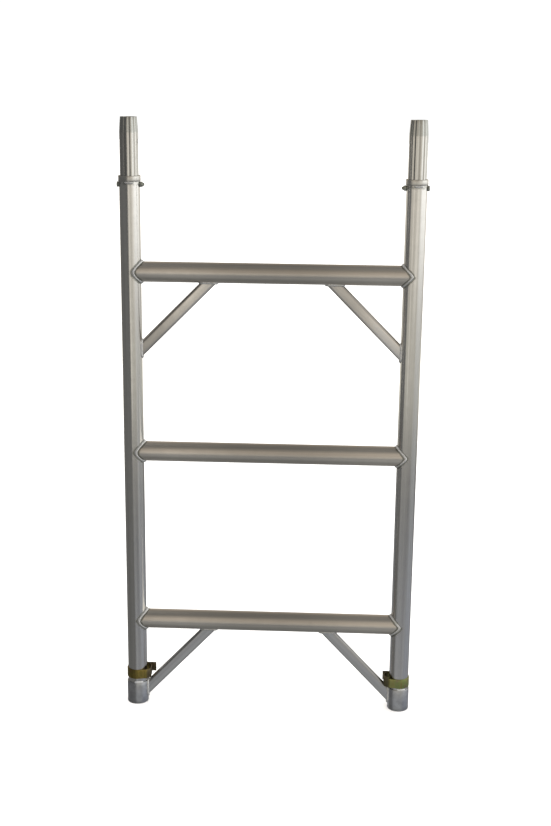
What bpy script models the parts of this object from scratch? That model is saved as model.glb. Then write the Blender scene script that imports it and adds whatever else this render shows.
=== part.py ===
"""Three-rung end frame of an aluminium scaffold tower.

Two uprights carry three rungs and four corner braces. A fluted spigot is bolted into the top
of each upright and a sleeve stiffens each foot, so that the next frame plugs on above. A sprung
band round each foot holds a locking peg, which drops into the cross hole of the spigot below.

X runs across the frame, Y through it and Z up. The origin is on the floor, midway between the feet.
Sizes are in metres.
"""

import math

import bmesh
import bpy
from mathutils import Matrix, Vector

# Driving sizes
TUBE_DIAMETER = 0.0508
TUBE_WALL = 0.002
UPRIGHT_SPACING = 0.700
UPRIGHT_HEIGHT = 1.400
BOTTOM_RUNG_HEIGHT = 0.2375
RUNG_PITCH = 0.4635
FIT_GAP = 0.0003

# Corner braces: flat-sided oval tube. Each centre line is given by its height where it crosses
# the upright's axis and by its distance from the frame's middle where it crosses the rung's axis
BRACE_WIDTH = 0.030
BRACE_DEPTH = 0.015
BRACE_WALL = 0.0018
UPPER_BRACE_FOOT = 0.9445
UPPER_BRACE_REACH = 0.1315
LOWER_BRACE_FOOT = 0.0085
LOWER_BRACE_REACH = 0.134

# Foot sleeve and top collar
SLEEVE_DIAMETER = 0.056
SLEEVE_HEIGHT = 0.060
COLLAR_DIAMETER = 0.055
COLLAR_HEIGHT = 0.014
EDGE_CHAMFER = 0.0008

# Spigot
SPIGOT_RISE = 0.140
SPIGOT_SUNK = 0.100
SPIGOT_TAPER_HEIGHT = 0.038
SPIGOT_TIP_DIAMETER = 0.041
SPIGOT_BORE = 0.037
TAPER_POWER = 1.3
FLUTE_COUNT = 12
FLUTE_DEPTH = 0.0013
# Each spigot's flutes stand at their own turn, as it was bolted in
SPIGOT_TURN = {"left": math.radians(-5.2), "right": math.radians(-13.2)}
CROSS_HOLE_DIAMETER = 0.011
CROSS_HOLE_RISE = 0.0815

# Bolt through each spigot
BOLT_DROP = 0.0215
BOLT_DIAMETER = 0.008
BOLT_HOLE_DIAMETER = 0.009
HEX_ACROSS_FLATS = 0.013
HEX_CHAMFER = 0.0007
BOLT_HEAD_THICKNESS = 0.0053
BOLT_TIP_STANDOUT = 0.0112
BOLT_POINT_DIAMETER = 0.0044
BOLT_POINT_LENGTH = 0.0016
NUT_THICKNESS = 0.0075
NUT_BODY_THICKNESS = 0.0052
NUT_CROWN_DIAMETER = 0.0114

# Spring band and locking peg at each foot
BAND_HEIGHT = 0.025
BAND_THICKNESS = 0.002
BAND_CLEARANCE = 0.0004
BAND_CENTRE = {"left": 0.085, "right": 0.0785}
BOW_REACH = {"left": 0.0370, "right": 0.0400}
EAR_REACH = {"left": 0.0463, "right": 0.0418}
BOW_HALF_WIDTH = 0.0125
BOW_CURL = 0.006
WRAP_START = math.radians(90)
WRAP_END = math.radians(285)
BEND_RADIUS = 0.003
BRACE_ROOM = 0.0006
PEG_HEIGHT = 0.0828
PEG_TRAVEL = 0.0045
PEG_DIAMETER = 0.008
PEG_TIP_DIAMETER = 0.005
PEG_TIP_LENGTH = 0.0025
PEG_TIP_REACH = 0.019
PEG_SHOULDER_DIAMETER = 0.012
PEG_SHOULDER_THICKNESS = 0.003
PEG_RIVET_DIAMETER = 0.005
PEG_HEAD_DIAMETER = 0.007
PEG_HEAD_THICKNESS = 0.001

# How finely round shapes are cut
TUBE_SIDES = 48
SPIGOT_SIDES = FLUTE_COUNT * 6
HEX_SIDES = 24
PEG_SIDES = 24
HOLE_SIDES = 24
OVAL_END_STEPS = 9
BEND_STEPS = 4
WRAP_STEPS = 22
TAPER_STEPS = 3

TUBE_RADIUS = TUBE_DIAMETER / 2
TUBE_BORE_RADIUS = TUBE_RADIUS - TUBE_WALL
SIDES = {"left": -1, "right": 1}
UP = Matrix.Identity(4)


# Materials

def metal(name, colour, roughness, metallic=1.0):
    """A Principled material of one colour."""
    material = bpy.data.materials.new(name)
    material.use_nodes = True
    shader = material.node_tree.nodes["Principled BSDF"]
    shader.inputs["Base Color"].default_value = (*colour, 1.0)
    shader.inputs["Roughness"].default_value = roughness
    shader.inputs["Metallic"].default_value = metallic
    return material


def mill_aluminium():
    return metal("mill_aluminium", (0.62, 0.61, 0.58), 0.38)


def brushed_aluminium():
    return metal("brushed_aluminium", (0.70, 0.68, 0.63), 0.30)


def cast_aluminium():
    return metal("cast_aluminium", (0.55, 0.55, 0.56), 0.45)


def yellow_zinc():
    return metal("yellow_zinc", (0.46, 0.38, 0.13), 0.35)


def dark_steel():
    return metal("dark_steel", (0.12, 0.14, 0.13), 0.42)


# Outlines in a plane, each a closed list of points

def circle(diameter, count):
    turn = 2 * math.pi / count
    return [(diameter / 2 * math.cos(i * turn), diameter / 2 * math.sin(i * turn))
            for i in range(count)]


def hexagon(across_flats, count):
    """A hexagon with its points spread evenly by angle; count is a multiple of six."""
    points = []
    for i in range(count):
        angle = 2 * math.pi * i / count
        from_flat = (angle + math.pi / 6) % (math.pi / 3) - math.pi / 6
        radius = across_flats / 2 / math.cos(from_flat)
        points.append((radius * math.cos(angle), radius * math.sin(angle)))
    return points


def fluted(diameter, depth, count):
    """A circle with rounded lands and shallow flutes between them."""
    points = []
    for i in range(count):
        angle = 2 * math.pi * i / count
        sunk = (1 - math.cos(FLUTE_COUNT * angle)) / 2
        radius = diameter / 2 - depth * sunk ** 2
        points.append((radius * math.cos(angle), radius * math.sin(angle)))
    return points


def oval(width, depth):
    """Two straight sides joined by half circles, wide along the first axis."""
    radius = depth / 2
    offset = width / 2 - radius
    points = []
    for end in (0, 1):
        for step in range(OVAL_END_STEPS + 1):
            angle = -math.pi / 2 + math.pi * (end + step / OVAL_END_STEPS)
            centre = -offset if end else offset
            points.append((centre + radius * math.cos(angle), radius * math.sin(angle)))
    return points


# Solids

def new_object(name, mesh_builder, material=None, smooth_below=40):
    """An object holding the builder's mesh, shaded smooth except at sharp edges."""
    mesh = bpy.data.meshes.new(name)
    bmesh.ops.recalc_face_normals(mesh_builder, faces=mesh_builder.faces)
    mesh_builder.to_mesh(mesh)
    mesh_builder.free()
    mesh.shade_smooth()
    mesh.set_sharp_from_angle(angle=math.radians(smooth_below))
    piece = bpy.data.objects.new(name, mesh)
    bpy.context.scene.collection.objects.link(piece)
    if material:
        mesh.materials.append(material)
    return piece


def loft(name, stations, material=None, hollow=False):
    """A solid through the stations, each an outline and its height along the local Z axis.

    A hollow one runs up its outer side and down its inner side, and the last station joins
    the first. Otherwise the first and the last station are capped.
    """
    builder = bmesh.new()
    loops = [[builder.verts.new((x, y, height)) for x, y in outline] for outline, height in stations]
    following = loops[1:] + loops[:1] if hollow else loops[1:]
    for lower, upper in zip(loops, following):
        count = len(lower)
        for i in range(count):
            after = (i + 1) % count
            builder.faces.new((lower[i], lower[after], upper[after], upper[i]))
    if not hollow:
        builder.faces.new(reversed(loops[0]))
        builder.faces.new(loops[-1])
    return new_object(name, builder, material)


def tube(name, outer, inner, length, material):
    """A plain tube of any section, from the local origin up."""
    stations = [(outer, 0), (outer, length), (inner, length), (inner, 0)]
    return loft(name, stations, material, hollow=True)


def rod(name, diameter, length, count=TUBE_SIDES):
    """A plain round bar, from the local origin up."""
    outline = circle(diameter, count)
    return loft(name, [(outline, 0), (outline, length)])


def chamfered_ring(name, outer_diameter, inner_diameter, height, material):
    """A short tube with its two outer edges broken."""
    outer = circle(outer_diameter, TUBE_SIDES)
    edge = circle(outer_diameter - 2 * EDGE_CHAMFER, TUBE_SIDES)
    inner = circle(inner_diameter, TUBE_SIDES)
    stations = [(edge, 0), (outer, EDGE_CHAMFER), (outer, height - EDGE_CHAMFER),
                (edge, height), (inner, height), (inner, 0)]
    return loft(name, stations, material, hollow=True)


def place(piece, location, rotation=UP):
    piece.location = location
    piece.rotation_euler = rotation.to_euler()
    return piece


def along(direction, side_axis=(0, 1, 0)):
    """The turn that lays local Z along a direction and keeps local Y near the side axis."""
    z_axis = Vector(direction).normalized()
    x_axis = Vector(side_axis).cross(z_axis).normalized()
    y_axis = z_axis.cross(x_axis)
    return Matrix((x_axis, y_axis, z_axis)).transposed().to_4x4()


def cut(piece, *cutters):
    """Take the cutters' volumes out of the piece."""
    for cutter in cutters:
        cutter.hide_render = True
        cutter.display_type = "WIRE"
        difference = piece.modifiers.new("cut_" + cutter.name, "BOOLEAN")
        difference.operation = "DIFFERENCE"
        difference.solver = "EXACT"
        difference.object = cutter


# Tubes of the frame

def upright_x(side):
    return SIDES[side] * UPRIGHT_SPACING / 2


def inward(side):
    """The direction from an upright towards the middle of the frame."""
    return Vector((-SIDES[side], 0, 0))


def upright_space_cutter(side):
    """The round space that an upright takes out of the pieces welded to it."""
    cutter = rod(side + "_upright_space", TUBE_DIAMETER + 2 * FIT_GAP, 2 * UPRIGHT_HEIGHT)
    return place(cutter, (upright_x(side), 0, -UPRIGHT_HEIGHT / 2))


def sleeve_space_cutter(side):
    """The round space that a foot sleeve takes out of the lower brace."""
    cutter = rod(side + "_sleeve_space", SLEEVE_DIAMETER + 2 * FIT_GAP, 4 * SLEEVE_HEIGHT)
    return place(cutter, (upright_x(side), 0, -SLEEVE_HEIGHT))


def bolt_hole_cutter(side, piece_name):
    """The hole for the spigot's bolt, through both walls of the named piece."""
    name = side + "_bolt_hole_in_" + piece_name
    cutter = rod(name, BOLT_HOLE_DIAMETER, 2 * TUBE_DIAMETER, HOLE_SIDES)
    start = Vector((upright_x(side), 0, UPRIGHT_HEIGHT - BOLT_DROP)) - inward(side) * TUBE_DIAMETER
    return place(cutter, start, along(inward(side)))


def peg_hole_cutter(side):
    """The hole for the locking peg, through the inner wall only."""
    cutter = rod(side + "_peg_space", CROSS_HOLE_DIAMETER, TUBE_DIAMETER, HOLE_SIDES)
    return place(cutter, (upright_x(side), 0, PEG_HEIGHT), along(inward(side)))


def upright(side, material):
    outer = circle(TUBE_DIAMETER, TUBE_SIDES)
    inner = circle(2 * TUBE_BORE_RADIUS, TUBE_SIDES)
    piece = tube(side + "_upright", outer, inner, UPRIGHT_HEIGHT, material)
    place(piece, (upright_x(side), 0, 0))
    cut(piece, bolt_hole_cutter(side, "upright"), peg_hole_cutter(side))


def rung(name, height, spaces, material):
    """A round tube from upright to upright, its ends coped round them."""
    outer = circle(TUBE_DIAMETER, TUBE_SIDES)
    inner = circle(2 * TUBE_BORE_RADIUS, TUBE_SIDES)
    piece = tube(name, outer, inner, UPRIGHT_SPACING, material)
    place(piece, (upright_x("left"), 0, height), along((1, 0, 0)))
    cut(piece, *spaces)


def brace(name, side, foot_height, reach, rung_height, spaces, material):
    """A flat-sided oval tube from an upright's axis to a rung's axis, coped at both ends."""
    foot = Vector((upright_x(side), 0, foot_height))
    head = Vector((SIDES[side] * reach, 0, rung_height))
    outer = oval(BRACE_WIDTH, BRACE_DEPTH)
    inner = oval(BRACE_WIDTH - 2 * BRACE_WALL, BRACE_DEPTH - 2 * BRACE_WALL)
    piece = tube(name, outer, inner, (head - foot).length, material)
    place(piece, foot, along(head - foot))
    cut(piece, *spaces)


def rung_space_cutter(name, height):
    cutter = rod(name, TUBE_DIAMETER + 2 * FIT_GAP, UPRIGHT_SPACING)
    return place(cutter, (upright_x("left"), 0, height), along((1, 0, 0)))


def foot_sleeve(side, material):
    piece = chamfered_ring(side + "_foot_sleeve", SLEEVE_DIAMETER,
                           TUBE_DIAMETER + 2 * FIT_GAP, SLEEVE_HEIGHT, material)
    place(piece, (upright_x(side), 0, 0))


def top_collar(side, material):
    piece = chamfered_ring(side + "_top_collar", COLLAR_DIAMETER,
                           TUBE_DIAMETER + 2 * FIT_GAP, COLLAR_HEIGHT, material)
    place(piece, (upright_x(side), 0, UPRIGHT_HEIGHT - COLLAR_HEIGHT))


# Spigots and their bolts

def spigot(side, material):
    """A fluted tube sunk into the upright, tapered at its tip, with a cross hole for a peg."""
    body_diameter = 2 * (TUBE_BORE_RADIUS - FIT_GAP)
    length = SPIGOT_SUNK + SPIGOT_RISE
    stations = [(fluted(body_diameter, FLUTE_DEPTH, SPIGOT_SIDES), 0)]
    for step in range(TAPER_STEPS + 1):
        share = step / TAPER_STEPS
        diameter = body_diameter + (SPIGOT_TIP_DIAMETER - body_diameter) * share ** TAPER_POWER
        outline = fluted(diameter, FLUTE_DEPTH, SPIGOT_SIDES)
        stations.append((outline, length - SPIGOT_TAPER_HEIGHT * (1 - share)))
    bore = circle(SPIGOT_BORE, SPIGOT_SIDES)
    tip_bore = circle(SPIGOT_TIP_DIAMETER - (body_diameter - SPIGOT_BORE), SPIGOT_SIDES)
    stations += [(tip_bore, length), (bore, length - SPIGOT_TAPER_HEIGHT), (bore, 0)]
    piece = loft(side + "_spigot", stations, material, hollow=True)
    turn = Matrix.Rotation(SPIGOT_TURN[side], 4, "Z")
    place(piece, (upright_x(side), 0, UPRIGHT_HEIGHT - SPIGOT_SUNK), turn)
    hole = rod(side + "_cross_hole", CROSS_HOLE_DIAMETER, 2 * TUBE_DIAMETER, HOLE_SIDES)
    hole_start = (upright_x(side) - TUBE_DIAMETER, 0, UPRIGHT_HEIGHT + CROSS_HOLE_RISE)
    place(hole, hole_start, along((1, 0, 0)))
    cut(piece, bolt_hole_cutter(side, "spigot"), hole)


def bolt(side, material):
    """A hexagon bolt whose head is on the outer side of the upright."""
    head_start = TUBE_RADIUS + FIT_GAP + BOLT_HEAD_THICKNESS
    length = head_start + TUBE_RADIUS + BOLT_TIP_STANDOUT
    face = hexagon(HEX_ACROSS_FLATS - 2 * HEX_CHAMFER, HEX_SIDES)
    head = hexagon(HEX_ACROSS_FLATS, HEX_SIDES)
    shank = circle(BOLT_DIAMETER, HEX_SIDES)
    point = circle(BOLT_POINT_DIAMETER, HEX_SIDES)
    stations = [(face, 0), (head, HEX_CHAMFER), (head, BOLT_HEAD_THICKNESS),
                (shank, BOLT_HEAD_THICKNESS), (shank, length - BOLT_POINT_LENGTH), (point, length)]
    piece = loft(side + "_spigot_bolt", stations, material)
    start = Vector((upright_x(side), 0, UPRIGHT_HEIGHT - BOLT_DROP)) - inward(side) * head_start
    place(piece, start, along(inward(side)))


def nut(side, material):
    """A hexagon lock nut with a round crown, on the inner side of the upright."""
    body = hexagon(HEX_ACROSS_FLATS, HEX_SIDES)
    crown = circle(NUT_CROWN_DIAMETER, HEX_SIDES)
    bore = circle(BOLT_DIAMETER + 2 * FIT_GAP, HEX_SIDES)
    stations = [(body, 0), (body, NUT_BODY_THICKNESS), (crown, NUT_BODY_THICKNESS + HEX_CHAMFER),
                (crown, NUT_THICKNESS), (bore, NUT_THICKNESS), (bore, 0)]
    piece = loft(side + "_spigot_nut", stations, material, hollow=True)
    start = Vector((upright_x(side), 0, UPRIGHT_HEIGHT - BOLT_DROP))
    start += inward(side) * (TUBE_RADIUS + FIT_GAP)
    place(piece, start, along(inward(side)))


# Spring bands and locking pegs

def rounded(path, radius, steps):
    """The open path with each inner corner replaced by an arc."""
    points = [path[0]]
    for before, corner, after in zip(path, path[1:], path[2:]):
        arrive = (corner - before).normalized()
        leave = (after - corner).normalized()
        turn = arrive.angle(leave)
        run = radius * math.tan(turn / 2)
        start = corner - arrive * run
        end = corner + leave * run
        middle_way = (leave - arrive).normalized()
        centre = corner + middle_way * radius / math.cos(turn / 2)
        for step in range(steps + 1):
            share = step / steps
            spoke = (start - centre).lerp(end - centre, share).normalized()
            points.append(centre + spoke * radius)
    return points + [path[-1]]


def band_path(side):
    """The middle line of a band in plan: first axis towards the frame's middle, second to the rear.

    From the ear at the rear it wraps round the outer side of the upright, then leaves the tube
    at the front and bows out to the wall that carries the peg.
    """
    radius = TUBE_RADIUS + BAND_CLEARANCE + BAND_THICKNESS / 2
    wall = BOW_REACH[side] - BAND_THICKNESS / 2
    wrap = []
    for step in range(WRAP_STEPS + 1):
        angle = WRAP_START + (WRAP_END - WRAP_START) * step / WRAP_STEPS
        wrap.append(Vector((radius * math.cos(angle), radius * math.sin(angle))))
    tangent = Vector((-math.sin(WRAP_END), math.cos(WRAP_END)))
    knee = wrap[-1] + tangent * (TUBE_RADIUS - wrap[-1].x) / tangent.x
    bow = [wrap[-1], knee, Vector((wall, -BOW_HALF_WIDTH)), Vector((wall, BOW_HALF_WIDTH)),
           Vector((wall - BOW_CURL, BOW_HALF_WIDTH + BOW_CURL))]
    ear_tip = Vector((EAR_REACH[side], radius))
    return [ear_tip] + wrap + rounded(bow, BEND_RADIUS, BEND_STEPS)[1:]


def spring_band(side, material):
    """A strip on edge, bent to the band's path, pierced for the peg and cleared for the brace."""
    builder = bmesh.new()
    path = band_path(side)
    verts = [builder.verts.new((-SIDES[side] * p.x, p.y, -BAND_HEIGHT / 2)) for p in path]
    edges = [builder.edges.new(pair) for pair in zip(verts, verts[1:])]
    raised = bmesh.ops.extrude_edge_only(builder, edges=edges)["geom"]
    raised_verts = [item for item in raised if isinstance(item, bmesh.types.BMVert)]
    bmesh.ops.translate(builder, verts=raised_verts, vec=(0, 0, BAND_HEIGHT))
    piece = new_object(side + "_spring_band", builder, material)
    solid = piece.modifiers.new("thickness", "SOLIDIFY")
    solid.thickness = BAND_THICKNESS
    solid.offset = 0
    solid.use_even_offset = True
    centre = Vector((upright_x(side), 0, BAND_CENTRE[side]))
    place(piece, centre)
    hole_diameter = PEG_RIVET_DIAMETER + 2 * FIT_GAP
    hole = rod(side + "_rivet_space", hole_diameter, TUBE_DIAMETER, HOLE_SIDES)
    hole_start = Vector((upright_x(side), 0, PEG_HEIGHT)) + inward(side) * TUBE_RADIUS
    place(hole, hole_start, along(inward(side)))
    cut(piece, hole, brace_clearance_cutter(side))


def brace_clearance_cutter(side):
    """The room that the lower edge of the bow leaves for the brace beneath it.

    It covers the brace as the bow meets it over the peg's whole travel, so it is wider than the
    brace by the travel's share across it and lies half the travel nearer the upright.
    """
    foot = Vector((upright_x(side), 0, LOWER_BRACE_FOOT))
    head = Vector((SIDES[side] * LOWER_BRACE_REACH, 0, BOTTOM_RUNG_HEIGHT))
    direction = (head - foot).normalized()
    width = BRACE_WIDTH + 2 * BRACE_ROOM + PEG_TRAVEL * direction.z
    outline = oval(width, BRACE_DEPTH + 2 * BRACE_ROOM)
    cutter = loft(side + "_brace_space", [(outline, 0), (outline, (head - foot).length)])
    return place(cutter, foot - inward(side) * PEG_TRAVEL / 2, along(direction))


def locking_peg(side, material):
    """A shouldered peg riveted through the wall of the bow, pointing at the upright's axis."""
    wall_inner = BOW_REACH[side] - BAND_THICKNESS - FIT_GAP
    wall_outer = BOW_REACH[side] + FIT_GAP
    tip = circle(PEG_TIP_DIAMETER, PEG_SIDES)
    shank = circle(PEG_DIAMETER, PEG_SIDES)
    shoulder = circle(PEG_SHOULDER_DIAMETER, PEG_SIDES)
    rivet = circle(PEG_RIVET_DIAMETER, PEG_SIDES)
    head = circle(PEG_HEAD_DIAMETER, PEG_SIDES)
    shoulder_end = wall_inner - PEG_SHOULDER_THICKNESS
    stations = [(tip, PEG_TIP_REACH), (shank, PEG_TIP_REACH + PEG_TIP_LENGTH),
                (shank, shoulder_end), (shoulder, shoulder_end), (shoulder, wall_inner),
                (rivet, wall_inner), (rivet, wall_outer), (head, wall_outer),
                (head, wall_outer + PEG_HEAD_THICKNESS / 2),
                (rivet, wall_outer + PEG_HEAD_THICKNESS)]
    piece = loft(side + "_locking_peg", stations, material)
    place(piece, (upright_x(side), 0, PEG_HEIGHT), along(inward(side)))


def clear_scene():
    for piece in list(bpy.data.objects):
        bpy.data.objects.remove(piece, do_unlink=True)


def main():
    clear_scene()
    mill = mill_aluminium()
    brushed = brushed_aluminium()
    cast = cast_aluminium()
    zinc = yellow_zinc()
    steel = dark_steel()

    upright_spaces = {side: upright_space_cutter(side) for side in SIDES}
    sleeve_spaces = {side: sleeve_space_cutter(side) for side in SIDES}
    top_rung_height = BOTTOM_RUNG_HEIGHT + 2 * RUNG_PITCH
    top_rung_space = rung_space_cutter("top_rung_space", top_rung_height)
    bottom_rung_space = rung_space_cutter("bottom_rung_space", BOTTOM_RUNG_HEIGHT)

    for level, name in enumerate(("bottom_rung", "middle_rung", "top_rung")):
        rung(name, BOTTOM_RUNG_HEIGHT + level * RUNG_PITCH, upright_spaces.values(), brushed)
    for side in SIDES:
        upright(side, mill)
        brace("upper_" + side + "_brace", side, UPPER_BRACE_FOOT, UPPER_BRACE_REACH,
              top_rung_height, (upright_spaces[side], top_rung_space), brushed)
        brace("lower_" + side + "_brace", side, LOWER_BRACE_FOOT, LOWER_BRACE_REACH,
              BOTTOM_RUNG_HEIGHT, (sleeve_spaces[side], bottom_rung_space), brushed)
        foot_sleeve(side, cast)
        top_collar(side, cast)
        spigot(side, mill)
        bolt(side, steel)
        nut(side, steel)
        spring_band(side, zinc)
        locking_peg(side, steel)


main()
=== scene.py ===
"""Looks of a three-rung aluminium end frame of a scaffold tower, laid out as a Blender add-on.

Metres, X across the frame, Y to its rear, Z up, the origin on the floor midway between the feet.
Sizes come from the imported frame, from the constants for what its boxes don't show, and from
the property groups.
"""
import math

import bmesh
import bpy
from bpy.props import FloatProperty, FloatVectorProperty, IntProperty, PointerProperty
from mathutils import Matrix, Vector


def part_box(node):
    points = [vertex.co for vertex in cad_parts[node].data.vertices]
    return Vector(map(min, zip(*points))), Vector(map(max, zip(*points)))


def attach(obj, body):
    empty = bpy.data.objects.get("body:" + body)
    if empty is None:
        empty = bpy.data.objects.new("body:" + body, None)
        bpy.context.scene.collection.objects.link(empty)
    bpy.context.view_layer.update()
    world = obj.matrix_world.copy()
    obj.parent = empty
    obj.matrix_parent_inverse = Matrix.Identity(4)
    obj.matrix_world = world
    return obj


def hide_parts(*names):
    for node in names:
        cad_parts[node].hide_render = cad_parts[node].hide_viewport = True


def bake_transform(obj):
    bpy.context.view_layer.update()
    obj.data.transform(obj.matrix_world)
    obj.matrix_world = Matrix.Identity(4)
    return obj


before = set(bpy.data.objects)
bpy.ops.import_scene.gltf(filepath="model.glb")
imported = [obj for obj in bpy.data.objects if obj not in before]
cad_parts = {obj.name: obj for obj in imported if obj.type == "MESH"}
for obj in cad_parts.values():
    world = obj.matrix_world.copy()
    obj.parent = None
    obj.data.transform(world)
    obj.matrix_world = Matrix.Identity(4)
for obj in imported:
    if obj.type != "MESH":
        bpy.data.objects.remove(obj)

bl_info = {
    "name": "Scaffold End Frame",
    "version": (1, 0, 0),
    "blender": (4, 5, 0),
    "location": "View3D > Sidebar > Scaffold",
    "description": "Dresses the three-rung end frame of a scaffold tower and sets its studio",
    "category": "Object",
}

SIDES = {"left": -1, "right": 1}
RUNG_NAMES = ("bottom_rung", "middle_rung", "top_rung")
BRACE_NAMES = ("upper_left", "upper_right", "lower_left", "lower_right")


# Sizes read from the frame

def middle(node):
    low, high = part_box(node)
    return (low + high) / 2


def extent(node):
    low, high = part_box(node)
    return high - low


TUBE_RADIUS = extent("left_upright").x / 2
UPRIGHT_X = middle("right_upright").x
UPRIGHT_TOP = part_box("left_upright")[1].z
RUNG_HEIGHTS = {name: middle(name).z for name in RUNG_NAMES}
SLEEVE_RADIUS = extent("left_foot_sleeve").x / 2
SLEEVE_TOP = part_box("left_foot_sleeve")[1].z
COLLAR_RADIUS = extent("left_top_collar").x / 2
COLLAR_FOOT, COLLAR_TOP = (corner.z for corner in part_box("left_top_collar"))
SPIGOT_FOOT, SPIGOT_TOP = (corner.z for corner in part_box("left_spigot"))
BOLT_HEIGHT = middle("left_spigot_bolt").z
PEG_HEIGHT = middle("left_locking_peg").z
BAND_HEIGHT = extent("left_spring_band").z

# Sizes that the frame's boxes don't show
FIT_GAP = 0.0003
BRACE_DROP = {"upper": 0.2200, "lower": 0.2290}
BRACE_REACH = {"upper": 0.2185, "lower": 0.2160}
CROSS_HOLE_RISE = 0.0815
SPIGOT_TURN = {"left": math.radians(-5.2), "right": math.radians(-13.2)}
BAND_CLEARANCE = 0.0004
BAND_THICKNESS = 0.002
BOW_REACH = {"left": 0.0370, "right": 0.0400}
BOW_HALF_WIDTH = 0.0125
BOW_CURL = 0.006
BEND_RADIUS = 0.003
WRAP_START = math.radians(90)
WRAP_END = math.radians(285)
PEG_TRAVEL = 0.0045
# How far the weld rounds off the point of a rung's cope
COPE_BLUNT = {"left": 0.0085, "right": 0.0045}


# What a user may change

def metres(name, description, default):
    return FloatProperty(name=name, description=description, default=default, unit="LENGTH")


def tone(name, description, default):
    return FloatVectorProperty(name=name, description=description, default=default, subtype="COLOR")


class TubeSizes(bpy.types.PropertyGroup):
    """Sizes of the tubes and rings."""
    wall: metres("Tube Wall", "Wall of uprights and rungs", 0.002)
    brace_width: metres("Brace Width", "Brace across its flat face", 0.030)
    brace_depth: metres("Brace Depth", "Brace from front to rear", 0.015)
    brace_wall: metres("Brace Wall", "Wall of the braces", 0.0018)
    edge: metres("Broken Edge", "Rounding of sleeve and collar edges", 0.0009)
    sides: IntProperty(name="Tube Sides", description="Faces round a tube", default=96)


class SpigotSizes(bpy.types.PropertyGroup):
    """Sizes of the fluted spigots."""
    flutes: IntProperty(name="Flutes", description="Flutes round a spigot", default=12)
    flute_depth: metres("Flute Depth", "Depth of a flute", 0.0013)
    bore: metres("Bore", "Bore of a spigot", 0.037)
    tip: metres("Tip Diameter", "Diameter at the top", 0.041)
    taper: metres("Taper Height", "Height of the tapered tip", 0.038)
    taper_power: FloatProperty(name="Taper Curve", description="1 is a cone, more is rounder",
                               default=1.3)
    cross_hole: metres("Cross Hole", "Hole for the locking peg", 0.011)


class FastenerSizes(bpy.types.PropertyGroup):
    """Sizes of bolts, nuts and pegs."""
    shank: metres("Shank", "Bolt diameter", 0.008)
    flats: metres("Across Flats", "Hexagon across its flats", 0.013)
    head: metres("Head Thickness", "Thickness of a bolt's head", 0.0053)
    nut: metres("Nut Thickness", "Whole height of a lock nut", 0.0075)
    nut_body: metres("Nut Body", "Height of a nut's hexagon", 0.0052)
    crown: metres("Nut Crown", "Diameter of a nut's round crown", 0.0114)
    standout: metres("Bolt Standout", "Bolt's tip beyond the tube", 0.0112)
    pitch: metres("Thread Pitch", "Thread pitch", 0.00125)
    thread: metres("Thread Depth", "Thread depth", 0.0006)


class WeldSizes(bpy.types.PropertyGroup):
    """Sizes of the weld beads."""
    rung: metres("Rung Bead", "Bead radius at the front of a rung's end", 0.0044)
    corner: metres("Corner Bead", "Bead radius above and below a rung", 0.0046)
    thin: metres("Rung Bead Thinning", "How much a bead thins on its flanks", 0.0014)
    sink: metres("Rung Bead Sink", "Depth of a bead's middle in the joint", 0.0028)
    brace: metres("Brace Bead", "Bead radius round a brace's end", 0.0036)
    stitch: metres("Stitch Bead", "Bead radius at collars and sleeves", 0.0034)
    pitch: metres("Ripple Pitch", "Distance between ripples", 0.0024)
    ripple: FloatProperty(name="Ripple Height", description="Ripple as a share of the bead",
                          default=0.10, subtype="FACTOR")
    wobble: FloatProperty(name="Wobble", description="Unevenness as a share of the bead",
                          default=0.16, subtype="FACTOR")
    seed: FloatProperty(name="Seed", description="Seed of the unevenness", default=3.0)


class Finishes(bpy.types.PropertyGroup):
    """Colours of the metals."""
    upright: tone("Upright", "Aluminium of the uprights", (0.86, 0.86, 0.85))
    rung: tone("Rung", "Aluminium of the rungs", (0.70, 0.68, 0.65))
    brace: tone("Brace", "Aluminium of the braces", (0.86, 0.845, 0.82))
    # Painted shade: the lower braces get a darker, bluer tone than the upper ones, though both are the same
    # aluminium.
    shaded_low_brace: tone("Lower Brace", "Aluminium of the lower braces", (0.76, 0.78, 0.82))
    sleeve: tone("Sleeve", "Aluminium of the foot sleeves", (0.72, 0.75, 0.80))
    collar: tone("Collar", "Aluminium of the top collars", (0.78, 0.78, 0.76))
    spigot: tone("Spigot", "Aluminium of the spigots", (0.76, 0.76, 0.74))
    bead: tone("Weld", "Bright aluminium of the weld beads", (0.84, 0.86, 0.89))
    soot: tone("Soot", "Smut beside the welds", (0.24, 0.25, 0.22))
    steel: tone("Steel", "Dark plated steel of the bolts", (0.62, 0.66, 0.61))


class StudioSettings(bpy.types.PropertyGroup):
    """Camera and light."""
    camera_place: FloatVectorProperty(name="Camera", description="Place of the camera",
                                      subtype="XYZ", unit="LENGTH",
                                      default=(0.1447, -3.2034, 1.6445))
    camera_turn: FloatVectorProperty(name="Camera Turn", description="Pitch, roll and yaw",
                                     subtype="EULER", unit="ROTATION",
                                     default=tuple(math.radians(a) for a in (75.387, -0.607, 2.509)))
    lens: FloatProperty(name="Lens", description="Focal length in millimetres", default=56.8)
    floor_light: FloatProperty(name="Floor Light", description="Overhead light on the floor",
                               default=4.4)
    panel_light: FloatProperty(name="Front Panel", description="Power of the warm front panel",
                               default=0.4, unit="POWER")
    right_light: FloatProperty(name="Right Panel", description="Power of the panel to the right",
                               default=0.9, unit="POWER")


# Node trees

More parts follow.
